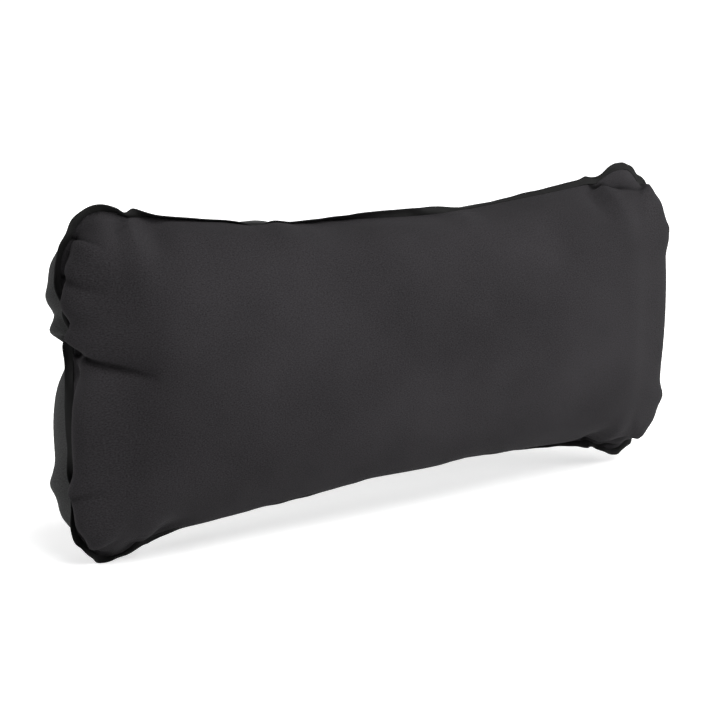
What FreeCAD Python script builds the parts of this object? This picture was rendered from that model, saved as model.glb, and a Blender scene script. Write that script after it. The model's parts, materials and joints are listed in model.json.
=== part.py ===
"""Inflatable camping pillow, blown up and standing on its long edge.

Two laminated fabric panels are welded face to face round their margin, and a folded strip covers the weld.
A two-stage valve is sunk in a cup in the back panel: a hinged plug lets the air out, and in the plug is a
one-way flap under a hinged cap, for blowing air in.

Millimetres. +X runs along the pillow, +Y from the front face to the back face, +Z up.
The origin is on the floor, below the middle of the pillow, in the plane of the weld.
"""
import FreeCAD
import Part
import math
import os
from collections import namedtuple

# The pillow's overall size
LENGTH = 580.0  # over the weld strip
HEIGHT = 286.0  # floor to the top of the weld strip
THICKNESS = 124.0  # front crown to back crown

# The fabric casing
FABRIC = 0.8  # face cloth with its airtight lining
CORNER_RADIUS = 46.0
LONG_EDGE_PULL = 20.0  # how far inflation draws the middle of a long edge in
SHORT_EDGE_PULL = 11.0
ROLL = 75.0  # how far in from the edge the rounded side turns into the flat crown
SEAM_DIP = 8.0  # the weld lies in a groove this deep
MARGIN = 8.0  # width of the welded margin
STRIP_WIDTH = 8.2  # of the folded strip, from its open edge to its fold
STRIP_GAP = 1.2  # from the weld line to the strip's open edge
STRIP_THICKNESS = 0.4
FOOT_SINK = 4.0  # the corners flatten on the floor by this much

# The valve in the back crown. Its heights are outwards from the cup's floor, its ups are above its centre.
VALVE_X = 150.0
VALVE_DROP = 15.0  # below the middle of the pillow
CUP_DEPTH = 6.2
CUP_RADIUS = 25.0
CUP_WALL = 1.2
FLANGE_RADIUS = 35.0
FLANGE_THICKNESS = 1.0
HOLE_GAP = 0.2
PATCH_RADIUS = 39.0
PATCH_THICKNESS = 0.4
COLLAR_OUTER = 15.0
COLLAR_INNER = 13.0
COLLAR_TOP = 1.6
COLLAR_BOTTOM = -6.0
LEDGE_INNER = 11.0
LEDGE_THICKNESS = 1.0

# The plug, its seal and the grid in its port
PLUG_RADIUS = 14.8
SEAL_INNER = 12.9
SEAL_THICKNESS = 0.6
LID_THICKNESS = 1.2
SKIRT_TOP_RADIUS = 12.6
SKIRT_BOTTOM_RADIUS = 11.7
SKIRT_BOTTOM = -4.6
PORT_RADIUS = 8.5
GRID_TOP = -2.6
GRID_THICKNESS = 1.0
SEAT_INNER = 7.0
HUB_RADIUS = 2.4
SPOKE_WIDTH = 1.6
SPOKES = 4
STEM_HOLE = 1.05
PLUG_TAB_WIDTH = 10.0
PLUG_TAB_LENGTH = 6.0
RIDGE_HEIGHT = 0.6
RIDGE_WIDTH = 1.0

# The flap
STEM_RADIUS = 0.98
FLAP_RADIUS = 7.8
FLAP_THICKNESS = 0.7
FLAP_GAP = 0.02
FLAP_TRAVEL = 1.2
BULB_RADIUS = 1.5
BULB_GAP = 0.1  # left between the bulb and the hub at full travel

# The cap
CAP_RADIUS = 9.8
CAP_GAP = 0.05
CAP_THICKNESS = 1.2
CAP_WALL = 1.1
CAP_TOP_RADIUS = 8.3
CAP_TIP_RADIUS = 8.0
CAP_TIP = 0.6
CAP_TAB_WIDTH = 7.0
CAP_TAB_LENGTH = 3.4

LID_ROUND = 0.35  # on the outer edges of both lids
OVERLAP = 0.5  # how far joined moulded shapes reach into each other

# A hinge: its axis, the radii of the bar, its bore, the knuckle and the ears, and where along X the arm and
# the ears end. The bar snaps into bored ears.
Hinge = namedtuple("Hinge", "up height bar bore knuckle ear arm_half ear_end")
PLUG_HINGE = Hinge(up=18.4, height=3.2, bar=1.0, bore=1.06, knuckle=1.5, ear=1.9, arm_half=4.2, ear_end=7.4)
CAP_HINGE = Hinge(up=-12.2, height=4.7, bar=0.7, bore=0.76, knuckle=1.1, ear=1.35, arm_half=3.2, ear_end=5.0)
EAR_GAP = 0.2
BAR_RECESS = 0.3  # the bar stops this far short of the ear's outer side

# Derived places
STRIP_STANDOUT = STRIP_GAP + STRIP_WIDTH - SEAM_DIP  # of the strip's fold past the widest line of the panels
HALF_X = LENGTH / 2 - STRIP_STANDOUT
HALF_Z = (HEIGHT - STRIP_STANDOUT + FOOT_SINK) / 2
CENTRE_Z = HALF_Z - FOOT_SINK
DEPTH = THICKNESS / 2
SEAM_ANGLE = math.acos(1 - SEAM_DIP / ROLL)  # how far the side profile curls past its widest line
VALVE_Z = CENTRE_Z - VALVE_DROP
CUP_FLOOR_Y = DEPTH - CUP_DEPTH
CUP_OUTER = CUP_RADIUS + CUP_WALL
HOLE_RADIUS = CUP_OUTER + HOLE_GAP
PLUG_BOTTOM = COLLAR_TOP + SEAL_THICKNESS
PLUG_TOP = PLUG_BOTTOM + LID_THICKNESS
GRID_BOTTOM = GRID_TOP - GRID_THICKNESS
CAP_BOTTOM = PLUG_TOP + CAP_GAP
CAP_TOP = CAP_BOTTOM + CAP_THICKNESS

PROFILE_STEPS = 8
ARC_POINTS = 5
LONG_EDGE_POINTS = 7
SHORT_EDGE_POINTS = 3
FRONT = -1
BACK = 1
OUTWARDS = FreeCAD.Vector(0, 1, 0)


def pulled_in(along, reach, pull):
    """How far an edge is drawn in at this distance along it: most at its middle, nothing at the corners."""
    share = min(abs(along) / reach, 1.0)
    return pull * (1 - share ** 2)


def outline(inset, y):
    """A closed curve round the pillow at depth y, inset from the widest line, with drawn-in edges."""
    half_x = HALF_X - inset
    half_z = HALF_Z - inset
    centre_x = half_x - CORNER_RADIUS
    centre_z = half_z - CORNER_RADIUS
    points = []
    for turn in range(4):
        sign_x = (1, -1, -1, 1)[turn]
        sign_z = (1, 1, -1, -1)[turn]
        for k in range(ARC_POINTS):
            angle = math.pi / 2 * (turn + k / (ARC_POINTS - 1))
            x = sign_x * centre_x + CORNER_RADIUS * math.cos(angle)
            z = sign_z * centre_z + CORNER_RADIUS * math.sin(angle)
            points.append((x, z))
        if turn in (0, 2):
            for k in range(1, LONG_EDGE_POINTS + 1):
                x = sign_x * centre_x * (1 - 2 * k / (LONG_EDGE_POINTS + 1))
                points.append((x, sign_z * (half_z - pulled_in(x, centre_x, LONG_EDGE_PULL))))
        else:
            for k in range(1, SHORT_EDGE_POINTS + 1):
                z = sign_z * centre_z * (1 - 2 * k / (SHORT_EDGE_POINTS + 1))
                points.append((sign_x * (half_x - pulled_in(z, centre_z, SHORT_EDGE_PULL)), z))
    curve = Part.BSplineCurve()
    curve.interpolate(Points=[FreeCAD.Vector(x, y, CENTRE_Z + z) for x, z in points], PeriodicFlag=True)
    return Part.Wire(curve.toShape())


def half_body(side, offset):
    """The solid that one panel encloses, from the weld plane to its flat crown, shrunk by offset."""
    sections = []
    for step in range(PROFILE_STEPS + 1):
        angle = -SEAM_ANGLE + (math.pi / 2 + SEAM_ANGLE) * step / PROFILE_STEPS
        inset = ROLL * (1 - math.cos(angle)) + offset
        rise = (math.sin(angle) + math.sin(SEAM_ANGLE)) / (1 + math.sin(SEAM_ANGLE))
        sections.append(outline(inset, side * (DEPTH - offset) * rise))
    return Part.makeLoft(sections, True, False)


def ring_plate(inner, outer, low, high):
    """A flat ring between two distances outwards from the weld line, from y low to y high."""
    depth = FreeCAD.Vector(0, high - low, 0)
    whole = Part.Face(outline(SEAM_DIP - outer, low)).extrude(depth)
    return whole.cut(Part.Face(outline(SEAM_DIP - inner, low)).extrude(depth))


def above(z):
    """A block that keeps only what is above height z."""
    return Part.makeBox(2 * LENGTH, 2 * LENGTH, 2 * LENGTH, FreeCAD.Vector(-LENGTH, -LENGTH, z))


def panel(side):
    """One fabric panel: a hollow crowned half with its welded margin, flattened where it stands on the floor."""
    outside = half_body(side, 0.0)
    inside = half_body(side, FABRIC).common(above(FABRIC))
    low, high = sorted((0.0, side * FABRIC))
    margin = ring_plate(-FABRIC / 2, MARGIN, low, high)
    return outside.fuse(margin).common(above(0.0)).cut(inside).removeSplitter()


def front_panel():
    """The front panel, unbroken."""
    return panel(FRONT)


def back_panel():
    """The back panel, with the hole for the valve's cup."""
    return panel(BACK).cut(disc(HOLE_RADIUS, 0.0, 2 * CUP_DEPTH))


def perimeter_weld_strip():
    """The strip folded over both welded margins."""
    outer = FABRIC + STRIP_THICKNESS
    strip = ring_plate(STRIP_GAP, STRIP_GAP + STRIP_WIDTH, -outer, outer)
    slot = ring_plate(-MARGIN, MARGIN, -FABRIC, FABRIC)
    return strip.cut(slot).common(above(0.0))


def taper(low_radius, high_radius, low, high):
    """A cone frustum on the valve's axis between two heights."""
    start = FreeCAD.Vector(VALVE_X, CUP_FLOOR_Y + low, VALVE_Z)
    return Part.makeCone(low_radius, high_radius, high - low, start, OUTWARDS)


def disc(radius, low, high):
    """A round plate on the valve's axis between two heights."""
    start = FreeCAD.Vector(VALVE_X, CUP_FLOOR_Y + low, VALVE_Z)
    return Part.makeCylinder(radius, high - low, start, OUTWARDS)


def ring(inner, outer, low, high):
    """A round plate with a round hole, on the valve's axis."""
    return disc(outer, low, high).cut(disc(inner, low, high))


def block(half_width, up_a, up_b, low, high):
    """A box centred on the valve's X, between two ups and two heights."""
    up_low, up_high = sorted((up_a, up_b))
    corner = FreeCAD.Vector(VALVE_X - half_width, CUP_FLOOR_Y + low, VALVE_Z + up_low)
    return Part.makeBox(2 * half_width, high - low, up_high - up_low, corner)


def bar(radius, half_width, hinge):
    """A round bar along X on a hinge's axis."""
    start = FreeCAD.Vector(VALVE_X - half_width, CUP_FLOOR_Y + hinge.height, VALVE_Z + hinge.up)
    return Part.makeCylinder(radius, 2 * half_width, start, FreeCAD.Vector(1, 0, 0))


def ears(hinge, low):
    """The two bored ears that carry a hinge's bar, standing on height low."""
    foot = block(hinge.ear_end, hinge.up - hinge.ear, hinge.up + hinge.ear, low, hinge.height)
    whole = bar(hinge.ear, hinge.ear_end, hinge).fuse(foot)
    reach = 2 * hinge.ear
    top = hinge.height + hinge.ear
    between = block(hinge.arm_half + EAR_GAP, hinge.up - reach, hinge.up + reach, low, top)
    return whole.cut(between).cut(bar(hinge.bore, hinge.ear_end, hinge))


def hinge_arm(hinge, root, low):
    """The moving side of a hinge: an arm from its root to the axis, a knuckle, and a bar into both ears."""
    arm = block(hinge.arm_half, root, hinge.up, low, hinge.height)
    knuckle = bar(hinge.knuckle, hinge.arm_half, hinge)
    return arm.fuse([knuckle, bar(hinge.bar, hinge.ear_end - BAR_RECESS, hinge)])


def rounded_lid(radius, low, high):
    """A disc whose outer top edge is rounded."""
    lid = disc(radius, low, high)
    top = max(lid.Edges, key=lambda edge: edge.CenterOfMass.y)
    return lid.makeFillet(LID_ROUND, [top])


def valve_patch():
    """The film ring welded over the outside of the panel round the cup."""
    return ring(HOLE_RADIUS, PATCH_RADIUS, CUP_DEPTH, CUP_DEPTH + PATCH_THICKNESS)


def valve_base():
    """The moulded cup with its weld flange inside the panel, the collar, its ledge and the plug's hinge ears."""
    flange_top = CUP_DEPTH - FABRIC
    wall = ring(CUP_RADIUS, CUP_OUTER, -CUP_WALL, CUP_DEPTH + PATCH_THICKNESS)
    flange = ring(CUP_RADIUS, FLANGE_RADIUS, flange_top - FLANGE_THICKNESS, flange_top)
    floor = ring(COLLAR_INNER, CUP_OUTER, -CUP_WALL, 0.0)
    collar = ring(COLLAR_INNER, COLLAR_OUTER, COLLAR_BOTTOM, COLLAR_TOP)
    ledge = ring(LEDGE_INNER, COLLAR_OUTER, COLLAR_BOTTOM, COLLAR_BOTTOM + LEDGE_THICKNESS)
    return floor.fuse([wall, flange, collar, ledge, ears(PLUG_HINGE, 0.0)]).removeSplitter()


def plug_seal():
    """The flat silicone washer between the collar's rim and the plug's lid."""
    return ring(SEAL_INNER, PLUG_RADIUS, COLLAR_TOP, PLUG_BOTTOM)


def port_grid():
    """The seat ring, hub and spokes that the flap closes against."""
    grid = ring(SEAT_INNER, PORT_RADIUS + OVERLAP, GRID_BOTTOM, GRID_TOP)
    grid = grid.fuse(disc(HUB_RADIUS, GRID_BOTTOM, GRID_TOP))
    centre = FreeCAD.Vector(VALVE_X, CUP_FLOOR_Y, VALVE_Z)
    for k in range(SPOKES):
        spoke = block(SPOKE_WIDTH / 2, 0.0, SEAT_INNER + OVERLAP, GRID_BOTTOM, GRID_TOP)
        spoke.rotate(centre, OUTWARDS, 360.0 / SPOKES * k)
        grid = grid.fuse(spoke)
    return grid.cut(disc(STEM_HOLE, GRID_BOTTOM, GRID_TOP))


def deflate_plug():
    """The hinged plug: a lid with a tapered skirt, the inflation port with its grid, a tab and the cap's ears."""
    lid = rounded_lid(PLUG_RADIUS, PLUG_BOTTOM, PLUG_TOP)
    skirt = taper(SKIRT_BOTTOM_RADIUS, SKIRT_TOP_RADIUS, SKIRT_BOTTOM, PLUG_BOTTOM)
    body = lid.fuse(skirt).cut(disc(PORT_RADIUS, SKIRT_BOTTOM, PLUG_TOP))
    tab_end = -PLUG_RADIUS - PLUG_TAB_LENGTH
    tab = block(PLUG_TAB_WIDTH / 2, tab_end, -SKIRT_TOP_RADIUS, PLUG_BOTTOM, PLUG_TOP)
    ridge = block(PLUG_TAB_WIDTH / 2, tab_end, tab_end + RIDGE_WIDTH, PLUG_BOTTOM, PLUG_TOP + RIDGE_HEIGHT)
    arm = hinge_arm(PLUG_HINGE, SKIRT_TOP_RADIUS, PLUG_BOTTOM)
    return body.fuse([port_grid(), tab, ridge, arm, ears(CAP_HINGE, PLUG_TOP)]).removeSplitter()


def check_flap():
    """The silicone flap under the grid, with its stem and the bulb that stops its travel."""
    top = GRID_BOTTOM - FLAP_GAP
    bulb_middle = GRID_TOP + FLAP_TRAVEL + BULB_GAP + BULB_RADIUS
    flap = disc(FLAP_RADIUS, top - FLAP_THICKNESS, top)
    stem = disc(STEM_RADIUS, top - OVERLAP, bulb_middle)
    bulb = Part.makeSphere(BULB_RADIUS, FreeCAD.Vector(VALVE_X, CUP_FLOOR_Y + bulb_middle, VALVE_Z))
    return flap.fuse([stem, bulb]).removeSplitter()


def inflate_cap():
    """The hinged cap that closes the port: a lid, a hollow tapered plug and a finger tab."""
    lid = rounded_lid(CAP_RADIUS, CAP_BOTTOM, CAP_TOP)
    wall = taper(CAP_TIP_RADIUS, CAP_TOP_RADIUS, CAP_TIP, CAP_BOTTOM)
    wall = wall.cut(disc(CAP_TIP_RADIUS - CAP_WALL, CAP_TIP, CAP_BOTTOM))
    tab_end = CAP_RADIUS + CAP_TAB_LENGTH
    tab = block(CAP_TAB_WIDTH / 2, CAP_RADIUS - 2 * OVERLAP, tab_end, CAP_BOTTOM, CAP_TOP - LID_ROUND)
    arm = hinge_arm(CAP_HINGE, 2 * OVERLAP - CAP_RADIUS, CAP_BOTTOM)
    return lid.fuse([wall, tab, arm]).removeSplitter()


SUBPARTS = (
    front_panel,
    back_panel,
    perimeter_weld_strip,
    valve_patch,
    valve_base,
    plug_seal,
    deflate_plug,
    check_flap,
    inflate_cap,
)

os.makedirs("parts", exist_ok=True)
for make in SUBPARTS:
    shape = make()
    if len(shape.Solids) != 1 or not shape.isValid():
        raise ValueError(make.__name__ + " isn't one valid solid")
    shape.exportStep("parts/" + make.__name__ + ".step")
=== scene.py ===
"""Looks of a blown-up camp pillow: two cloth panels, the strip over their weld, and a valve.

The two panels start as one flat pattern and are blown up by a cloth simulation between two unseen
domed limits that hold the pillow's thickness. The weld between them gathers into lobes at the corners.
The blown-up bag is then shaped further by formulas: its ripples are calmed, its weld is evened out and
tucked in, its long edges are drawn in, and creases are pressed in at chosen places.
All lengths are in metres, in the frame of the CAD model: X along the pillow, Y from the front panel
to the back panel, Z up.
"""
import json
import math

import bmesh
import bpy
import numpy as np
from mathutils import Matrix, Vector
from mathutils.geometry import delaunay_2d_cdt


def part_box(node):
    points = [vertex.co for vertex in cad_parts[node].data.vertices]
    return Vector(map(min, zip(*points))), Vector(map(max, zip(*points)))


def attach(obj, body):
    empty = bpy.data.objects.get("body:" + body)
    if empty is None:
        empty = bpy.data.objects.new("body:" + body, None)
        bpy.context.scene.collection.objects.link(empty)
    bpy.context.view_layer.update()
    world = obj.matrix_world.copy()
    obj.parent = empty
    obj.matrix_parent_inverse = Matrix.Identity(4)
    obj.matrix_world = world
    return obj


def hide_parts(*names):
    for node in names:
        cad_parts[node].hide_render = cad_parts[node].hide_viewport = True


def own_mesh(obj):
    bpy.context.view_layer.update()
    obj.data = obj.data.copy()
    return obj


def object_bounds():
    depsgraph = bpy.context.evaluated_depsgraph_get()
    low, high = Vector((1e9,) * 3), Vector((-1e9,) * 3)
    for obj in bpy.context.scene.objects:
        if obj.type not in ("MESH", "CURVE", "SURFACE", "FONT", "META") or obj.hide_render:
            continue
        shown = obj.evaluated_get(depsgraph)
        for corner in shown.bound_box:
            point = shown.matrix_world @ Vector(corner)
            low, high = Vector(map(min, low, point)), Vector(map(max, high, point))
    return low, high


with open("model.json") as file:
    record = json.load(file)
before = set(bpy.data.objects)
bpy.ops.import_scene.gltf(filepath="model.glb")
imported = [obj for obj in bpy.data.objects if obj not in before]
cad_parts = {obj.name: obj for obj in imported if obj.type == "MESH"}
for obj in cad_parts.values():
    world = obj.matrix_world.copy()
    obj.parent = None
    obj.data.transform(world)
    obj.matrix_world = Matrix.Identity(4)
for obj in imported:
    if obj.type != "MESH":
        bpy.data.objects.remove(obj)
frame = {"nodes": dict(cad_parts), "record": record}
CAD_LOW, CAD_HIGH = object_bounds()
VALVE_LOW, VALVE_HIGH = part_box("valve_patch")

# The pillow and its valve, from the CAD model.
HALF_LENGTH = (CAD_HIGH.x - CAD_LOW.x) / 2
HEIGHT = CAD_HIGH.z - CAD_LOW.z
PATCH_UNDERSIDE = VALVE_LOW.y
VALVE_X = (VALVE_LOW.x + VALVE_HIGH.x) / 2
VALVE_Z = (VALVE_LOW.z + VALVE_HIGH.z) / 2
PATCH_RADIUS = (VALVE_HIGH.x - VALVE_LOW.x) / 2

# The flat pattern both panels are cut to: it draws in by a few per cent as the pillow fills.
PATTERN_HALF_LENGTH = 1.043 * HALF_LENGTH
PATTERN_HALF_HEIGHT = 0.528 * HEIGHT
PATTERN_CORNER = 0.068
CORNER_CUT = PATTERN_CORNER * (1 - math.sqrt(0.5))
BORDER_WIDTH = 0.008
BORDER_RINGS = 2
SPACING = 0.006
GRID_GAP = 0.6 * SPACING

# The main fold, at the left end: where it starts on the weld, and which way it runs.
MAIN_FOLD_Z = 0.042
MAIN_FOLD_WAY = (1, -0.3)

# Blowing up.
FRAMES = 60
PRESSURE = 25.0
STRETCH_STIFFNESS = 120.0
STRETCH_DAMPING = 25
BEND_STIFFNESS = 4.0
START_HEIGHT = 0.015
START_RUN = 0.13
GATHER_PINCH = 0.55

# The domed limits: how far they drop at these distances from their middle.
CROWN_DROP_X = 0.003
CROWN_SPAN_X = 0.25
CROWN_DROP_Z = 0.010
CROWN_SPAN_Z = 0.12
CONTACT_GAP = 0.001

# Evening out the ripples: how often in each part of the panels, and where the part fades in or out.
# Fades are distances from the weld or the main fold, or shares of the pattern's half length or height.
CROWN_ROUNDS = 30
CROWN_FADE = (0.030, 0.070)
END_ROUNDS = 50
END_FADE_X = (0.74, 0.84)
END_FADE_Z = (0.40, 0.90)
END_FADE_WELD = (0.001, 0.010)
END_FADE_FOLD = (0.012, 0.030)
EDGE_ROUNDS = 8
EDGE_FADE_IN = (0.001, 0.006)
EDGE_FADE_OUT = (0.040, 0.060)

# Shaping the weld and the edges.
EASE_REACH = 0.045
LONG_EDGE_EASE = 0.040
SHORT_EDGE_EASE = 0.060
CORNER_EASE = 0.030
CORNER_EASE_SHARE = 0.8
LONG_EASE_FADE = (0.60, 0.75)
SHORT_EASE_FADE = (0.40, 0.56)
ON_EDGE = 0.99
WELD_LEVELLING = 0.5
LONG_EDGE_LEVELLING = 0.4
LONG_EDGE_TUCK = 0.003
SHORT_EDGE_TUCK = 0.016
TUCK_REACH = 0.016
BULGE = 0.015
BULGE_DEPTH = 0.036
BULGE_REACH = 0.020
DRAW_IN = 0.17
DRAW_IN_LEAN = 0.30
DRAW_IN_BELOW = 0.07
FOOT_SINK = 0.003
FOOT_SOFTNESS = 0.0015

# Round the valve.
FLAT_ROUND_VALVE = 1.15 * PATCH_RADIUS
FLAT_FADE = 0.035
HOLE_RADIUS = 0.75 * PATCH_RADIUS

# The pieces.
CLOTH_THICKNESS = 0.0006
CREASE_OFF_WELD = (0.0, 0.006)
CREASE_START = (-0.010, 0.004)
CREASE_TAPER = 0.7
CREASE_SHARPNESS = 1.2
# Painted shade along the bottom of each crease: how wide it is, where along the crease it is full, and
# how dark it is.
CREASE_LINE = 0.0042
CREASE_LINE_FULL = 0.2
CREASE_SHADE_DARKNESS = 0.9
THREAD = 0.00055
STRIP_THICKNESS = 0.0014
STRIP_INSIDE = 0.25
STRIP_OUTSIDE = 0.9
RIPPLE = 0.0007
RIPPLE_WAVES = (23, 37, 52, 71)
RIPPLE_SEED = 7
FLOOR_RADIUS = 12
FLOOR_SIDES = 96


# ---------------------------------------------------------------- the flat pattern

def outline(spacing):
    """Evenly spaced points round the weld line, a rounded rectangle, counterclockwise."""
    turn = np.linspace(0, math.pi / 2, 40)
    corners = []
    for quarter, (side_x, side_z) in enumerate(((1, 1), (-1, 1), (-1, -1), (1, -1))):
        angle = turn + quarter * math.pi / 2
        centre_x = side_x * (PATTERN_HALF_LENGTH - PATTERN_CORNER)
        centre_z = side_z * (PATTERN_HALF_HEIGHT - PATTERN_CORNER)
        x = centre_x + PATTERN_CORNER * np.cos(angle)
        z = centre_z + PATTERN_CORNER * np.sin(angle)
        corners.append(np.stack([x, z], axis=1))
    path = np.concatenate(corners + [corners[0][:1]])
    steps = np.linalg.norm(np.diff(path, axis=0), axis=1)
    length = np.concatenate([[0], np.cumsum(steps)])
    count = round(length[-1] / spacing)
    places = np.linspace(0, length[-1], count, endpoint=False)
    x = np.interp(places, length, path[:, 0])
    z = np.interp(places, length, path[:, 1])
    return np.stack([x, z], axis=1)


def outward(ring):
    """Unit normals of a closed counterclockwise ring of flat points."""
    along = np.roll(ring, -1, axis=0) - np.roll(ring, 1, axis=0)
    normal = np.stack([along[:, 1], -along[:, 0]], axis=1)
    return normal / np.linalg.norm(normal, axis=1)[:, None]


def depth_inside(flat):
    """How far flat points lie inside the weld line, negative outside it."""
    beyond = np.abs(flat) - [PATTERN_HALF_LENGTH - PATTERN_CORNER, PATTERN_HALF_HEIGHT - PATTERN_CORNER]
    outer = np.linalg.norm(np.maximum(beyond, 0), axis=1)
    inner = np.minimum(beyond.max(axis=1), 0)
    return PATTERN_CORNER - outer - inner


def inner_grid():
    """Points of an equilateral grid that lie well inside the weld line."""
    row_height = SPACING * math.sqrt(3) / 2
    rows = int(PATTERN_HALF_HEIGHT / row_height) + 1
    columns = int(PATTERN_HALF_LENGTH / SPACING) + 2
    points = []
    for row in range(-rows, rows + 1):
        shift = 0.5 * (row % 2)
        for column in range(-columns, columns + 1):
            points.append(((column + shift) * SPACING, row * row_height))
    points = np.array(points)
    return points[depth_inside(points) > GRID_GAP]


def unit(way):
    """The same way at length one."""
    return np.array(way) / np.linalg.norm(way)


def along_and_across(flat, start, way):
    """How far flat points lie along a line from start that runs that way, and how far beside it."""
    way = unit(way)
    away = flat - start
    return away @ way, away @ np.array([-way[1], way[0]])


class Bag:
    """The two panels and the border round their weld, as one mesh.

    Points are in this order: the weld ring, the border rings, the front's inner points, the back's.
    """

    def __init__(self):
        weld = outline(SPACING)
        normal = outward(weld)
        rings = [weld + normal * BORDER_WIDTH * step / BORDER_RINGS for step in range(BORDER_RINGS + 1)]
        inner = inner_grid()
        self.ring_size = len(weld)
        self.border_end = self.ring_size * (BORDER_RINGS + 1)
        flat = np.concatenate(rings + [inner])
        triangles = self.triangles(flat)
        in_border = (triangles >= self.ring_size) & (triangles < self.border_end)
        self.border_faces = triangles[in_border.any(axis=1)]
        self.front_faces = triangles[~in_border.any(axis=1)]
        back_index = np.arange(len(flat))
        back_index[self.border_end:] += len(inner)
        self.back_faces = back_index[self.front_faces][:, ::-1]
        self.flat = np.concatenate([flat, inner])
        self.side = np.zeros(len(self.flat))
        self.side[self.border_end:len(flat)] = -1
        self.side[len(flat):] = 1
        self.depth = np.clip(depth_inside(self.flat), 0, None)
        self.points = self.start_shape()

    def triangles(self, flat):
        """Triangles over the flat points that keep the rings as edges and stay inside the border."""
        edges = []
        for step in range(BORDER_RINGS + 1):
            first = step * self.ring_size
            for place in range(self.ring_size):
                edges.append((first + place, first + (place + 1) % self.ring_size))
        whole_hull, same_place = 0, 1e-6
        found = delaunay_2d_cdt([Vector(point) for point in flat], edges, [], whole_hull, same_place)
        faces = np.array(found[2])
        outer_edge = -1.05 * BORDER_WIDTH
        return faces[depth_inside(flat[faces].mean(axis=1)) > outer_edge]

    def start_shape(self):
        """The pattern raised a little on both sides, with the first dents of the gathers pushed in."""
        rise = START_HEIGHT * np.sin(np.clip(self.depth / START_RUN, 0, 1) * math.pi / 2)
        points = np.stack([self.flat[:, 0], self.side * rise, self.flat[:, 1]], axis=1)
        for start, way, depth, width, reach in gathers():
            along, across = along_and_across(self.flat, start, way)
            fade = np.clip(1 - np.clip(along, 0, None) / reach, 0, 1)
            share = np.exp(-(across / width) ** 2) * fade
            inwards = unit(way)
            points[:, 0] += inwards[0] * depth * share
            points[:, 2] += inwards[1] * depth * share
            points[:, 1] *= 1 - GATHER_PINCH * share
        return points

    def faces(self):
        return np.concatenate([self.front_faces, self.border_faces, self.back_faces])


def corner_tip(side_x, side_z):
    """The middle of a rounded corner of the pattern."""
    return side_x * (PATTERN_HALF_LENGTH - CORNER_CUT), side_z * (PATTERN_HALF_HEIGHT - CORNER_CUT)


def gathers():
    """Where the weld gathers: (start on the weld line, way inwards, depth, width, reach)."""
    from_corner = 1.2 * PATTERN_CORNER
    found = []
    for side_x in (-1, 1):
        for side_z in (-1, 1):
            on_long = (side_x * (PATTERN_HALF_LENGTH - from_corner), side_z * PATTERN_HALF_HEIGHT)
            on_short = (side_x * PATTERN_HALF_LENGTH, side_z * (PATTERN_HALF_HEIGHT - from_corner))
            found.append((corner_tip(side_x, side_z), (-side_x, -side_z), 0.008, 0.012, 0.055))
            found.append((on_long, (-0.3 * side_x, -side_z), 0.010, 0.008, 0.045))
            found.append((on_short, (-side_x, -0.3 * side_z), 0.008, 0.008, 0.040))
    found.append(((-PATTERN_HALF_LENGTH, MAIN_FOLD_Z), MAIN_FOLD_WAY, 0.018, 0.010, 0.110))
    return found


# ---------------------------------------------------------------- the simulation

def mesh_object(name, points, faces):
    """A new object in the scene from arrays of points and faces."""
    mesh = bpy.data.meshes.new(name)
    mesh.from_pydata(points.tolist(), [], faces.tolist() if hasattr(faces, "tolist") else faces)
    made = bpy.data.objects.new(name, mesh)
    bpy.context.scene.collection.objects.link(made)
    return made


def read_points(mesh):
    """A mesh's vertex places as an array of rows."""
    values = np.empty(len(mesh.vertices) * 3)
    mesh.vertices.foreach_get("co", values)
    return values.reshape(-1, 3)


def add_group(made, name, chosen):
    """A vertex group that holds the chosen points at full weight."""
    group = made.vertex_groups.new(name=name)
    group.add(np.nonzero(chosen)[0].tolist(), 1.0, "REPLACE")
    return name


def limit(side):
    """An unseen domed sheet that the panel on that side can't pass."""
    columns, rows = 48, 28
    across = np.linspace(-1.2 * HALF_LENGTH, 1.2 * HALF_LENGTH, columns)
    up = np.linspace(-0.7 * HEIGHT, 0.7 * HEIGHT, rows)
    x, z = [grid.ravel() for grid in np.meshgrid(across, up)]
    drop = CROWN_DROP_X * (x / CROWN_SPAN_X) ** 2 + CROWN_DROP_Z * (z / CROWN_SPAN_Z) ** 2
    y = side * (PATCH_UNDERSIDE + CONTACT_GAP - drop)
    faces = []
    for row in range(rows - 1):
        for column in range(columns - 1):
            corner = row * columns + column
            face = [corner, corner + 1, corner + columns + 1, corner + columns]
            faces.append(face[::side])
    sheet = mesh_object("limit", np.stack([x, y, z], axis=1), faces)
    sheet.modifiers.new("Collision", "COLLISION")
    sheet.collision.damping = 0.2
    sheet.collision.thickness_outer = CONTACT_GAP
    sheet.collision.cloth_friction = 0
    sheet.collision.use_culling = False
    return sheet


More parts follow.
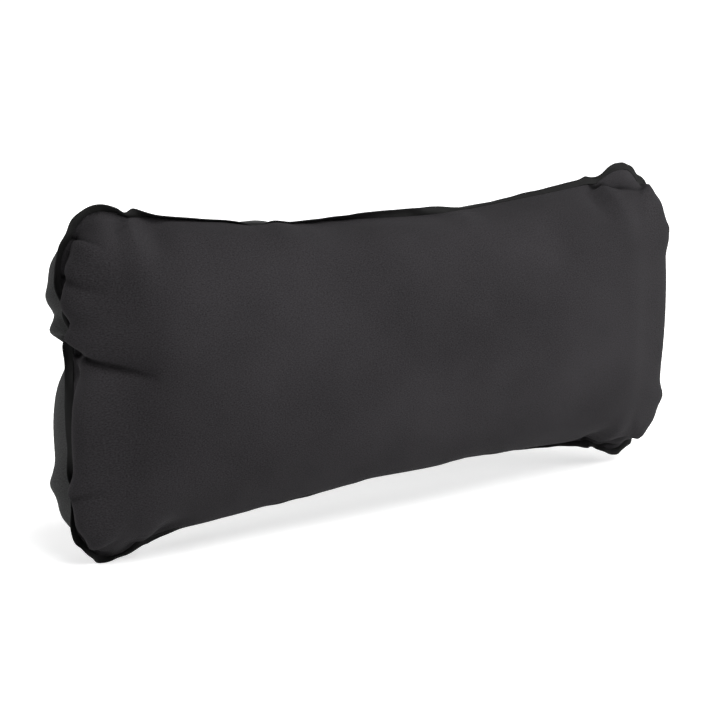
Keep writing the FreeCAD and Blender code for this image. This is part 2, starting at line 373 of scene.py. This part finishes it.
def blow_up(bag):
    """Runs the cloth simulation on the bag's points and keeps its last frame."""
    made = mesh_object("bag", bag.points, bag.faces())
    border = np.zeros(len(bag.points), bool)
    border[bag.ring_size:bag.border_end] = True
    cloth = made.modifiers.new("Cloth", "CLOTH")
    settings = cloth.settings
    settings.quality = 6
    settings.mass = 0.3
    settings.air_damping = 2.0
    settings.tension_stiffness = STRETCH_STIFFNESS
    settings.compression_stiffness = STRETCH_STIFFNESS / 2
    settings.shear_stiffness = STRETCH_STIFFNESS / 2
    settings.bending_stiffness = BEND_STIFFNESS
    settings.tension_damping = STRETCH_DAMPING
    settings.compression_damping = STRETCH_DAMPING
    settings.shear_damping = STRETCH_DAMPING
    settings.bending_damping = 0.5
    settings.use_pressure = True
    settings.uniform_pressure_force = PRESSURE
    settings.vertex_group_pressure = add_group(made, "pressure", ~border)
    settings.effector_weights.gravity = 0
    cloth.collision_settings.distance_min = CONTACT_GAP
    cloth.collision_settings.friction = 0
    cloth.collision_settings.collision_quality = 1
    cloth.point_cache.frame_start = 1
    cloth.point_cache.frame_end = FRAMES
    sheets = [limit(-1), limit(1)]
    scene = bpy.context.scene
    scene.frame_start = 1
    scene.frame_end = FRAMES
    for step in range(1, FRAMES + 1):
        scene.frame_set(step)
    view = made.evaluated_get(bpy.context.evaluated_depsgraph_get())
    bag.points = read_points(view.data)
    for spent in [made] + sheets:
        bpy.data.objects.remove(spent)
    scene.frame_set(1)


# ---------------------------------------------------------------- shaping the blown-up bag

def smooth_step(value, start, end):
    """0 before start, 1 after end, with a soft change between them."""
    share = np.clip((value - start) / (end - start), 0, 1)
    return share * share * (3 - 2 * share)


def calm_panels(bag, share, rounds):
    """Evens out the small ripples of the panels: each round moves a point towards its neighbours."""
    faces = bag.faces()
    edges = np.concatenate([faces[:, [0, 1]], faces[:, [1, 2]], faces[:, [2, 0]]])
    edges = np.concatenate([edges, edges[:, ::-1]])
    number = np.bincount(edges[:, 0], minlength=len(bag.points))[:, None]
    for _ in range(rounds):
        total = np.zeros_like(bag.points)
        for axis in range(3):
            total[:, axis] = np.bincount(edges[:, 0], bag.points[edges[:, 1], axis], len(bag.points))
        bag.points += 0.5 * share[:, None] * (total / number - bag.points)


def crown_share(bag):
    """One in the middle of the panels, away from the weld."""
    return smooth_step(bag.depth, *CROWN_FADE)


def end_share(bag):
    """One on the walls of the short ends, away from the weld, the corners and the main fold."""
    x, z = bag.flat[:, 0], bag.flat[:, 1]
    at_end = smooth_step(np.abs(x) / PATTERN_HALF_LENGTH, *END_FADE_X)
    off_weld = smooth_step(bag.depth, *END_FADE_WELD)
    off_corner = 1 - smooth_step(np.abs(z) / PATTERN_HALF_HEIGHT, *END_FADE_Z)
    off_fold = np.where(x < 0, smooth_step(np.abs(z - MAIN_FOLD_Z), *END_FADE_FOLD), 1)
    return at_end * off_weld * off_corner * off_fold


def edge_share(bag):
    """One in a band next to the weld, all the way round."""
    return smooth_step(bag.depth, *EDGE_FADE_IN) * (1 - smooth_step(bag.depth, *EDGE_FADE_OUT))


def nearest_weld(bag):
    """For each point of the bag, which point of the weld ring is nearest on the flat cloth."""
    weld = bag.flat[:bag.ring_size]
    block = 1000
    found = []
    for start in range(0, len(bag.flat), block):
        gap = np.linalg.norm(bag.flat[start:start + block, None] - weld[None], axis=2)
        found.append(gap.argmin(axis=1))
    return np.concatenate(found)


def smooth_ring(ring, reach):
    """A closed ring of points evened out along its length, over about that many points each way."""
    offsets = np.arange(-3 * reach, 3 * reach + 1)
    weights = np.exp(-(offsets / reach) ** 2)
    weights /= weights.sum()
    return sum(weight * np.roll(ring, offset, axis=0) for offset, weight in zip(offsets, weights))


def ease_weld(bag, nearest):
    """Evens out the weld, most in the middle of each edge, and brings it nearer to y = 0."""
    weld = bag.points[:bag.ring_size]
    across, up = (np.abs(bag.flat[:bag.ring_size]) / [PATTERN_HALF_LENGTH, PATTERN_HALF_HEIGHT]).T
    long_share = np.where(up > ON_EDGE, 1 - smooth_step(across, *LONG_EASE_FADE), 0)
    short_share = np.where(across > ON_EDGE, 1 - smooth_step(up, *SHORT_EASE_FADE), 0)
    corner_share = CORNER_EASE_SHARE * (1 - long_share - short_share)
    shift = np.zeros_like(weld)
    for share, reach in (
        (long_share, LONG_EDGE_EASE),
        (short_share, SHORT_EDGE_EASE),
        (corner_share, CORNER_EASE),
    ):
        shift += share[:, None] * (smooth_ring(weld, round(reach / SPACING)) - weld)
    shift[:, 1] = -(WELD_LEVELLING + LONG_EDGE_LEVELLING * long_share) * weld[:, 1]
    fade = np.exp(-(bag.depth / EASE_REACH) ** 2)
    bag.points += shift[nearest] * fade[:, None]


def tuck_weld(bag, nearest):
    """Draws the weld in and lets the panels bulge past it, most at the short ends."""
    way = outward(bag.flat[:bag.ring_size])[nearest]
    facing_end = way[:, 0] ** 2
    tuck = LONG_EDGE_TUCK + (SHORT_EDGE_TUCK - LONG_EDGE_TUCK) * facing_end
    push = BULGE * facing_end * np.exp(-((bag.depth - BULGE_DEPTH) / BULGE_REACH) ** 2)
    push -= tuck * np.exp(-(bag.depth / TUCK_REACH) ** 2)
    bag.points[:, 0] += way[:, 0] * push
    bag.points[:, 2] += way[:, 1] * push


def draw_in_edges(bag):
    """Draws the long edges in between the corner lobes, more at the bottom and towards the right."""
    across = np.clip(bag.points[:, 0] / HALF_LENGTH, -1, 1)
    share = (1 - across ** 4) * (1 + DRAW_IN_LEAN * across)
    below = smooth_step(-bag.points[:, 2], -HEIGHT / 4, HEIGHT / 4)
    bag.points[:, 2] *= 1 - (DRAW_IN + DRAW_IN_BELOW * below) * share


def fit_to_frame(bag):
    """Brings the bag's extents to the CAD model's, with its feet a little below the floor."""
    low, high = bag.points.min(axis=0), bag.points.max(axis=0)
    middle_x = (low[0] + high[0]) / 2
    grow_z = (HEIGHT + FOOT_SINK) / (high[2] - low[2])
    bag.points[:, 0] = (bag.points[:, 0] - middle_x) * 2 * HALF_LENGTH / (high[0] - low[0])
    bag.points[:, 1] *= PATCH_UNDERSIDE / max(high[1], -low[1])
    bag.points[:, 2] = (bag.points[:, 2] - low[2]) * grow_z - FOOT_SINK


def flatten_round_valve(bag):
    """Lays the back panel flat under the valve's patch."""
    away = np.hypot(bag.points[:, 0] - VALVE_X, bag.points[:, 2] - VALVE_Z)
    share = 1 - smooth_step(away, FLAT_ROUND_VALVE, FLAT_ROUND_VALVE + FLAT_FADE)
    share = np.where(bag.side > 0, share, 0)
    bag.points[:, 1] += share * (PATCH_UNDERSIDE - bag.points[:, 1])


def rest_on_floor(points):
    """Flattens whatever is below the floor on to it, with a soft edge."""
    height = points[:, 2]
    points[:, 2] = (height + np.sqrt(height ** 2 + FOOT_SOFTNESS ** 2)) / 2


# ---------------------------------------------------------------- pieces

def apply_modifiers(made):
    """Replaces an object's mesh by the one its modifiers make."""
    view = made.evaluated_get(bpy.context.evaluated_depsgraph_get())
    mesh = bpy.data.meshes.new_from_object(view)
    made.modifiers.clear()
    made.data = mesh


def shade_smooth(made):
    made.data.polygons.foreach_set("use_smooth", np.ones(len(made.data.polygons), bool))


def corner_points(mesh):
    """Which point each face corner of a mesh is at."""
    found = np.empty(len(mesh.loops), int)
    mesh.loops.foreach_get("vertex_index", found)
    return found


def add_flat_map(mesh, flat):
    """Keeps each point's place on the flat cloth as a UV map, so that the weave follows the cloth."""
    layer = mesh.uv_layers.new(name="cloth")
    layer.data.foreach_set("uv", flat[corner_points(mesh)].astype(np.float32).ravel())


def read_flat_map(mesh):
    """Each point's place on the flat cloth."""
    places = np.empty(len(mesh.loops) * 2, np.float32)
    mesh.uv_layers["cloth"].data.foreach_get("uv", places)
    flat = np.zeros((len(mesh.vertices), 2))
    flat[corner_points(mesh)] = places.reshape(-1, 2)
    return flat


def panel(bag, name, faces):
    """One panel of the bag as its own object, subdivided once."""
    used, local = np.unique(faces, return_inverse=True)
    made = mesh_object(name, bag.points[used], local.reshape(faces.shape))
    add_flat_map(made.data, bag.flat[used])
    shade_smooth(made)
    subdivide = made.modifiers.new("Subdivide", "SUBSURF")
    subdivide.levels = 1
    apply_modifiers(made)
    return made


def press_creases(made, side):
    """Presses the sharp folds of one panel in, square to its surface."""
    mesh = made.data
    flat = read_flat_map(mesh)
    normals = np.empty(len(mesh.vertices) * 3)
    mesh.vertices.foreach_get("normal", normals)
    normals = normals.reshape(-1, 3)
    points = read_points(mesh)
    off_weld = smooth_step(depth_inside(flat), *CREASE_OFF_WELD)
    for start, way, length, depth, width in creases(side):
        along, across = along_and_across(flat, start, way)
        taper = np.clip(1 - along / length, 0, 1) ** CREASE_TAPER
        share = taper * smooth_step(along, *CREASE_START)
        share *= np.exp(-(np.abs(across) / width) ** CREASE_SHARPNESS)
        points -= normals * (depth * share * off_weld)[:, None]
    mesh.vertices.foreach_set("co", points.astype(np.float32).ravel())
    mesh.update()


def creases(side):
    """The sharp folds of one panel on the flat cloth: (start, way, length, depth, width)."""
    end, top, corner = PATTERN_HALF_LENGTH, PATTERN_HALF_HEIGHT, PATTERN_CORNER
    found = [((-end, MAIN_FOLD_Z), MAIN_FOLD_WAY, 0.085, 0.016, 0.0045)]
    for side_x in (-1, 1):
        for side_z in (-1, 1):
            found.append((corner_tip(side_x, side_z), (-side_x, -0.6 * side_z), 0.040, 0.005, 0.0040))
    if side == "front":
        # Across the top right corner lobe, then two in the bottom right one.
        found.append(((end - 1.35 * corner, top), (0.8, -0.6), 0.075, 0.005, 0.0040))
        found.append(((end - corner, -top), (0.8, 0.6), 0.070, 0.004, 0.0035))
        found.append(((end - 1.35 * corner, -top), (0.7, 0.7), 0.055, 0.004, 0.0035))
        # Under the top left corner lobe and over the bottom left one.
        found.append(((-end, top - 0.8 * corner), (1, -0.3), 0.060, 0.005, 0.0040))
        found.append(((-end, 1.1 * corner - top), (1, 0.2), 0.055, 0.005, 0.0040))
    else:
        # In from the end at +X, the top edge and the bottom edge.
        found.append(((end, MAIN_FOLD_Z), (-1, -0.2), 0.060, 0.006, 0.0050))
        found.append(((-0.6 * end, top), (0.3, -1), 0.045, 0.004, 0.0040))
        found.append(((0.3 * end, -top), (-0.3, 1), 0.050, 0.004, 0.0040))
    return found


def thicken(made):
    """Gives a panel the thickness of its cloth, inwards."""
    shell = made.modifiers.new("Thickness", "SOLIDIFY")
    shell.thickness = CLOTH_THICKNESS
    shell.offset = -1
    apply_modifiers(made)


def cut_valve_hole(made):
    """Opens the back panel under the valve, with a round edge that the patch covers."""
    mesh = made.data
    centres = np.empty(len(mesh.polygons) * 3)
    mesh.polygons.foreach_get("center", centres)
    centres = centres.reshape(-1, 3)
    away = np.hypot(centres[:, 0] - VALVE_X, centres[:, 2] - VALVE_Z)
    under_valve = (away < HOLE_RADIUS) & (centres[:, 1] > 0)
    editing = bmesh.new()
    editing.from_mesh(mesh)
    editing.faces.ensure_lookup_table()
    gone = [editing.faces[int(index)] for index in np.nonzero(under_valve)[0]]
    bmesh.ops.delete(editing, geom=gone, context="FACES")
    for vertex in editing.verts:
        x, z = vertex.co.x - VALVE_X, vertex.co.z - VALVE_Z
        radius = math.hypot(x, z)
        if vertex.is_boundary and radius < FLAT_ROUND_VALVE:
            vertex.co.x = VALVE_X + x * HOLE_RADIUS / radius
            vertex.co.z = VALVE_Z + z * HOLE_RADIUS / radius
    editing.to_mesh(mesh)
    editing.free()


def weld_strip(bag):
    """The strip over the weld: a thin band with a soft outer edge that ripples a little."""
    size = bag.ring_size
    rings = bag.points[:bag.border_end].reshape(BORDER_RINGS + 1, size, 3)
    weld = rings[0]
    turn = np.linspace(0, 2 * math.pi, size, endpoint=False)
    random = np.random.default_rng(RIPPLE_SEED)
    ripple = np.zeros(size)
    for waves in RIPPLE_WAVES:
        ripple += np.sin(waves * turn + random.uniform(0, 2 * math.pi)) * random.uniform(0.4, 1)
    ripple *= RIPPLE
    lines = [weld - STRIP_INSIDE * (rings[1] - weld)]
    for step, ring in enumerate(rings):
        share = step / BORDER_RINGS
        line = weld + (ring - weld) * STRIP_OUTSIDE
        line[:, 1] += ripple * share ** 2
        lines.append(line)
    points = np.concatenate(lines)
    rest_on_floor(points)
    faces = []
    for line in range(len(lines) - 1):
        for place in range(size):
            after = (place + 1) % size
            inner, outer = line * size, (line + 1) * size
            faces.append([inner + place, outer + place, outer + after, inner + after])
    made = mesh_object("perimeter_strip", points, faces)
    shade_smooth(made)
    band = made.modifiers.new("Thickness", "SOLIDIFY")
    band.thickness = STRIP_THICKNESS
    band.offset = 0
    soften = made.modifiers.new("Subdivide", "SUBSURF")
    soften.levels = 2
    apply_modifiers(made)
    return made


# ---------------------------------------------------------------- materials

class Shader:
    """A material's node tree, with a short way to add a node."""

    def __init__(self, name):
        self.material = bpy.data.materials.new(name)
        self.material.use_nodes = True
        self.tree = self.material.node_tree
        self.surface = self.tree.nodes["Principled BSDF"]

    def node(self, kind, inputs=None, **settings):
        """Adds a node; each input is a value or another node's output. Returns its first output."""
        made = self.tree.nodes.new("ShaderNode" + kind)
        for name, value in settings.items():
            setattr(made, name, value)
        for name, value in (inputs or {}).items():
            self.feed(made.inputs[name], value)
        return made.outputs[0]

    def feed(self, socket, value):
        """Gives an input a value or links another node's output to it."""
        if isinstance(value, bpy.types.NodeSocket):
            self.tree.links.new(value, socket)
        else:
            socket.default_value = value

    def set(self, **inputs):
        """Sets the surface's inputs, with an underscore for each space in a name."""
        for name, value in inputs.items():
            self.feed(self.surface.inputs[name.replace("_", " ")], value)

    def math(self, operation, first, second=0.0):
        made = self.tree.nodes.new("ShaderNodeMath")
        made.operation = operation
        self.feed(made.inputs[0], first)
        self.feed(made.inputs[1], second)
        return made.outputs[0]

    def spread(self, value, low, high):
        """A value that runs from 0 to 1, spread between low and high."""
        return self.node("MapRange", {"Value": value, "To Min": low, "To Max": high})

    def object_place(self):
        """The place on the object itself, in metres."""
        return self.tree.nodes.new("ShaderNodeTexCoord").outputs["Object"]

    def stretched(self, place, x, y, z=1.0):
        return self.node("Mapping", {"Vector": place, "Scale": (x, y, z)})

    def noise(self, place, scale, detail=2.0, roughness=0.5):
        inputs = {"Vector": place, "Scale": scale, "Detail": detail, "Roughness": roughness}
        return self.node("TexNoise", inputs)

    def threads(self, across):
        """Rounded threads that lie side by side."""
        turns = self.math("MULTIPLY", across, math.pi / THREAD)
        return self.math("ABSOLUTE", self.math("SINE", turns))

    def blend(self, *parts):
        """The sum of values, each given with its share."""
        total = 0.0
        for value, share in parts:
            total = self.math("ADD", self.math("MULTIPLY", value, share), total)
        return total

    def mix_colour(self, share, first, second):
        """A colour between two, by share."""
        made = self.tree.nodes.new("ShaderNodeMix")
        made.data_type = "RGBA"
        self.feed(made.inputs["Factor"], share)
        self.feed(made.inputs["A"], first)
        self.feed(made.inputs["B"], second)
        return made.outputs["Result"]

    def bump(self, height, strength, distance, normal=None):
        inputs = {"Height": height, "Strength": strength, "Distance": distance}
        if normal is not None:
            inputs["Normal"] = normal
        return self.node("Bump", inputs)


def grey(level, red=1.0, green=1.0, blue=1.0):
    return (level * red, level * green, level * blue, 1.0)


def crease_shadow(shader, flat_x, flat_z, start, way, length):
    """One along the bottom of a fold on the flat cloth, fading to zero beside it and towards its end."""
    way_x, way_z = [float(value) for value in unit(way)]
    from_x = shader.math("SUBTRACT", flat_x, float(start[0]))
    from_z = shader.math("SUBTRACT", flat_z, float(start[1]))
    along = shader.blend((from_x, way_x), (from_z, way_z))
    beside = shader.math("ABSOLUTE", shader.blend((from_z, way_x), (from_x, -way_z)))
    falling = {"To Min": 1.0, "To Max": 0.0}
    near = {"Value": beside, "From Min": 0.0, "From Max": CREASE_LINE, **falling}
    to_end = {"Value": along, "From Min": CREASE_LINE_FULL * length, "From Max": length, **falling}
    line = shader.node("MapRange", near, interpolation_type="SMOOTHSTEP")
    fading = shader.math("MULTIPLY", line, shader.node("MapRange", to_end))
    return shader.math("MULTIPLY", fading, shader.math("GREATER_THAN", along, -CREASE_LINE))


def cloth_material(name, side, dark, light, sheen):
    """Brushed woven cloth: fine threads, a short nap over them, slow changes of tone, and painted shade
    along the folds.
    """
    shader = Shader(name)
    place = shader.node("UVMap", uv_map="cloth")
    axes = shader.tree.nodes.new("ShaderNodeSeparateXYZ")
    shader.feed(axes.inputs[0], place)
    flat_x, flat_z = axes.outputs[0], axes.outputs[1]
    weave = shader.math("MULTIPLY", shader.threads(flat_x), shader.threads(flat_z))
    nap = shader.noise(shader.stretched(place, 700, 1500), 1.0, 3.0, 0.6)
    speckle = shader.noise(place, 900, 2.0, 0.7)
    shade = shader.noise(place, 9, 3.0, 0.5)
    tone = shader.blend((weave, 0.15), (nap, 0.35), (speckle, 0.35), (shade, 0.20))
    height = shader.blend((weave, 0.6), (nap, 0.4))
    colour = shader.mix_colour(shader.spread(tone, -1.3, 2.3), dark, light)
    painted_fold_shade = grey(0.002)
    # Painted shade: the base colour is darkened along the bottom of each crease.
    for start, way, length, *_ in creases(side):
        shadow = crease_shadow(shader, flat_x, flat_z, start, way, length)
        colour = shader.mix_colour(shader.math("MULTIPLY", shadow, CREASE_SHADE_DARKNESS), colour, painted_fold_shade)
    shader.set(
        Base_Color=colour,
        Roughness=shader.spread(speckle, 0.78, 0.98),
        Specular_IOR_Level=0.05,
        Sheen_Weight=sheen,
        Sheen_Roughness=0.45,
        Sheen_Tint=grey(0.9, 1.0, 0.97, 1.02),
        Normal=shader.bump(height, 0.5, 0.00015),
    )
    return shader.material


def film_material(name, dark, light):
    """Heat-pressed film: a fine grain, a faint pressed grid and slightly uneven gloss."""
    shader = Shader(name)
    place = shader.object_place()
    grain = shader.noise(place, 1400, 3.0, 0.6)
    gloss = shader.noise(place, 60, 3.0, 0.6)
    grid = shader.node("TexVoronoi", {"Vector": place, "Scale": 700.0})
    height = shader.blend((grain, 0.5), (grid, 0.5))
    shader.set(
        Base_Color=shader.mix_colour(gloss, dark, light),
        Roughness=shader.spread(gloss, 0.55, 0.80),
        Specular_IOR_Level=0.07,
        Normal=shader.bump(height, 0.35, 0.0002),
    )
    return shader.material


def moulded_material(name, dark, light, low_gloss, high_gloss):
    """Moulded soft plastic: a spark-eroded grain with edges rubbed a little lighter."""
    shader = Shader(name)
    place = shader.object_place()
    grain = shader.noise(place, 2600, 3.0, 0.6)
    cloud = shader.noise(place, 110, 3.0, 0.6)
    rounded = shader.node("Bevel", {"Radius": 0.0006})
    geometry = shader.tree.nodes.new("ShaderNodeNewGeometry")
    facing = shader.tree.nodes.new("ShaderNodeVectorMath")
    facing.operation = "DOT_PRODUCT"
    shader.feed(facing.inputs[0], rounded)
    shader.feed(facing.inputs[1], geometry.outputs["Normal"])
    wear = shader.math("SUBTRACT", 1.0, facing.outputs["Value"])
    wear = shader.node("MapRange", {"Value": wear, "From Min": 0.01, "From Max": 0.12})
    wear = shader.math("MULTIPLY", wear, cloud)
    shader.set(
        Base_Color=shader.mix_colour(wear, dark, light),
        Roughness=shader.spread(cloud, low_gloss, high_gloss),
        Normal=shader.bump(grain, 0.25, 0.00008, rounded),
    )
    return shader.material


def silicone_material(name):
    """Milky silicone with fine surface dust."""
    shader = Shader(name)
    place = shader.object_place()
    cloud = shader.noise(place, 160, 3.0, 0.6)
    dust = shader.noise(place, 3000, 2.0, 0.6)
    shader.set(
        Base_Color=shader.mix_colour(cloud, grey(0.30), grey(0.40, 0.98, 1.0, 1.0)),
        Roughness=shader.spread(dust, 0.35, 0.60),
        Subsurface_Weight=0.3,
        Subsurface_Radius=(0.002, 0.002, 0.002),
        Normal=shader.bump(dust, 0.2, 0.00005),
    )
    return shader.material


def floor_material():
    """Pale paper that fades into white: it glows more far from the pillow, and mostly to the camera."""
    shader = Shader("studio_floor")
    place = shader.object_place()
    away = shader.tree.nodes.new("ShaderNodeVectorMath")
    away.operation = "LENGTH"
    shader.feed(away.inputs[0], place)
    far = shader.node("MapRange", {"Value": away.outputs["Value"], "From Min": 0.4, "From Max": 1.6})
    rays = shader.tree.nodes.new("ShaderNodeLightPath")
    seen = shader.spread(rays.outputs["Is Camera Ray"], 0.25, 1.0)
    shader.set(
        Base_Color=shader.mix_colour(shader.noise(place, 6), grey(0.88), grey(0.90)),
        Roughness=0.9,
        Specular_IOR_Level=0.1,
        Emission_Color=grey(1.0),
        Emission_Strength=shader.math("MULTIPLY", shader.spread(far, 0.42, 0.88), seen),
    )
    return shader.material


def make_materials():
    """One material for each of the record's material slots."""
    face_dark, face_light = grey(0.005, 1.02, 0.97, 1.03), grey(0.027, 1.02, 0.96, 1.04)
    back_dark, back_light = grey(0.022, 0.99, 1.0, 1.0), grey(0.060, 0.99, 1.0, 1.0)
    return {
        "face_cloth": cloth_material("face_cloth", "front", face_dark, face_light, 0.012),
        "back_cloth": cloth_material("back_cloth", "back", back_dark, back_light, 0.02),
        "weld_film": film_material("weld_film", grey(0.005), grey(0.010)),
        "patch_film": film_material("patch_film", grey(0.013), grey(0.022)),
        "valve_body": moulded_material("valve_body", grey(0.022), grey(0.050), 0.40, 0.60),
        "valve_lid": moulded_material("valve_lid", grey(0.040), grey(0.080), 0.38, 0.58),
        "silicone": silicone_material("silicone"),
    }


# ---------------------------------------------------------------- putting it together

def dress(made, node_name, material_slot, materials):
    """Puts a soft piece on the casing with its finish, and hides the CAD node it stands for."""
    made.data.materials.clear()
    made.data.materials.append(materials[material_slot])
    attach(made, "casing")
    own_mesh(made)
    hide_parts(node_name)


def make_soft_pieces(materials):
    """Blows up and shapes the bag, then makes the two panels and the strip from it."""
    bag = Bag()
    nearest = nearest_weld(bag)
    blow_up(bag)
    calm_panels(bag, crown_share(bag), CROWN_ROUNDS)
    calm_panels(bag, end_share(bag), END_ROUNDS)
    calm_panels(bag, edge_share(bag), EDGE_ROUNDS)
    ease_weld(bag, nearest)
    tuck_weld(bag, nearest)
    draw_in_edges(bag)
    fit_to_frame(bag)
    flatten_round_valve(bag)
    strip = weld_strip(bag)
    rest_on_floor(bag.points)
    front = panel(bag, "front_cloth", bag.front_faces)
    back = panel(bag, "back_cloth", bag.back_faces)
    press_creases(front, "front")
    press_creases(back, "back")
    cut_valve_hole(back)
    thicken(front)
    thicken(back)
    dress(front, "front_panel", "face_cloth", materials)
    dress(back, "back_panel", "back_cloth", materials)
    dress(strip, "perimeter_weld_strip", "weld_film", materials)


def finish_hard_pieces(materials):
    """Gives each carried-over CAD node the material of its slot in the record."""
    for subpart in frame["record"]["subparts"]:
        made = frame["nodes"][subpart["node"]]
        made.data.materials.clear()
        made.data.materials.append(materials[subpart["material_slot"]])


# ---------------------------------------------------------------- studio

def from_angle(azimuth, elevation, distance, target):
    """A point at that distance from target; azimuth 0 is in front, negative to the left."""
    turn, rise = math.radians(azimuth), math.radians(elevation)
    way = Vector((math.sin(turn) * math.cos(rise), -math.cos(turn) * math.cos(rise), math.sin(rise)))
    return target + way * distance


def aim(made, target):
    made.rotation_euler = (target - made.location).to_track_quat("-Z", "Y").to_euler()


def soft_light(name, azimuth, elevation, distance, size, power):
    """A square soft box that faces the pillow's middle."""
    target = Vector((0, 0, HEIGHT / 2))
    light = bpy.data.lights.new(name, "AREA")
    light.size = size
    light.energy = power
    made = bpy.data.objects.new(name, light)
    made.location = from_angle(azimuth, elevation, distance, target)
    bpy.context.scene.collection.objects.link(made)
    aim(made, target)


def make_world():
    """White to the camera, and as light a dim white that grows towards the right."""
    world = bpy.data.worlds.new("studio")
    bpy.context.scene.world = world
    world.use_nodes = True
    tree = world.node_tree
    background = tree.nodes["Background"]
    background.inputs["Color"].default_value = grey(1.0)
    ray = tree.nodes.new("ShaderNodeLightPath")
    way = tree.nodes.new("ShaderNodeTexCoord")
    axes = tree.nodes.new("ShaderNodeSeparateXYZ")
    tree.links.new(way.outputs["Generated"], axes.inputs[0])
    light = tree.nodes.new("ShaderNodeMapRange")
    for name, value in (("From Min", -0.8), ("From Max", 0.8), ("To Min", 0.05), ("To Max", 0.45)):
        light.inputs[name].default_value = value
    tree.links.new(axes.outputs["X"], light.inputs["Value"])
    level = tree.nodes.new("ShaderNodeMapRange")
    level.inputs["To Max"].default_value = 1.05
    tree.links.new(light.outputs[0], level.inputs["To Min"])
    tree.links.new(ray.outputs["Is Camera Ray"], level.inputs["Value"])
    tree.links.new(level.outputs[0], background.inputs["Strength"])


def make_floor():
    """A wide round floor at z = 0."""
    turn = np.linspace(0, 2 * math.pi, FLOOR_SIDES, endpoint=False)
    rim = np.stack([np.cos(turn), np.sin(turn), np.zeros(FLOOR_SIDES)], axis=1) * FLOOR_RADIUS
    floor = mesh_object("floor", rim, [list(range(FLOOR_SIDES))])
    floor.data.materials.append(floor_material())


def make_camera():
    """A long lens from the left front, a little above the pillow."""
    target = Vector((-0.020, 0, 0.133))
    azimuth, elevation, distance = -30, 14.7, 1.505
    camera = bpy.data.cameras.new("camera")
    camera.angle = math.radians(22.6)
    made = bpy.data.objects.new("camera", camera)
    made.location = from_angle(azimuth, elevation, distance, target)
    bpy.context.scene.collection.objects.link(made)
    aim(made, target)
    bpy.context.scene.camera = made


def make_studio():
    bpy.context.scene.view_settings.view_transform = "Standard"
    make_world()
    make_floor()
    make_camera()
    soft_light("top_box", azimuth=20, elevation=58, distance=1.9, size=1.5, power=58)
    soft_light("right_box", azimuth=55, elevation=12, distance=2.4, size=1.3, power=40)
    soft_light("rear_box", azimuth=-120, elevation=25, distance=2.2, size=1.2, power=30)


def main():
    materials = make_materials()
    make_soft_pieces(materials)
    finish_hard_pieces(materials)
    make_studio()


main()
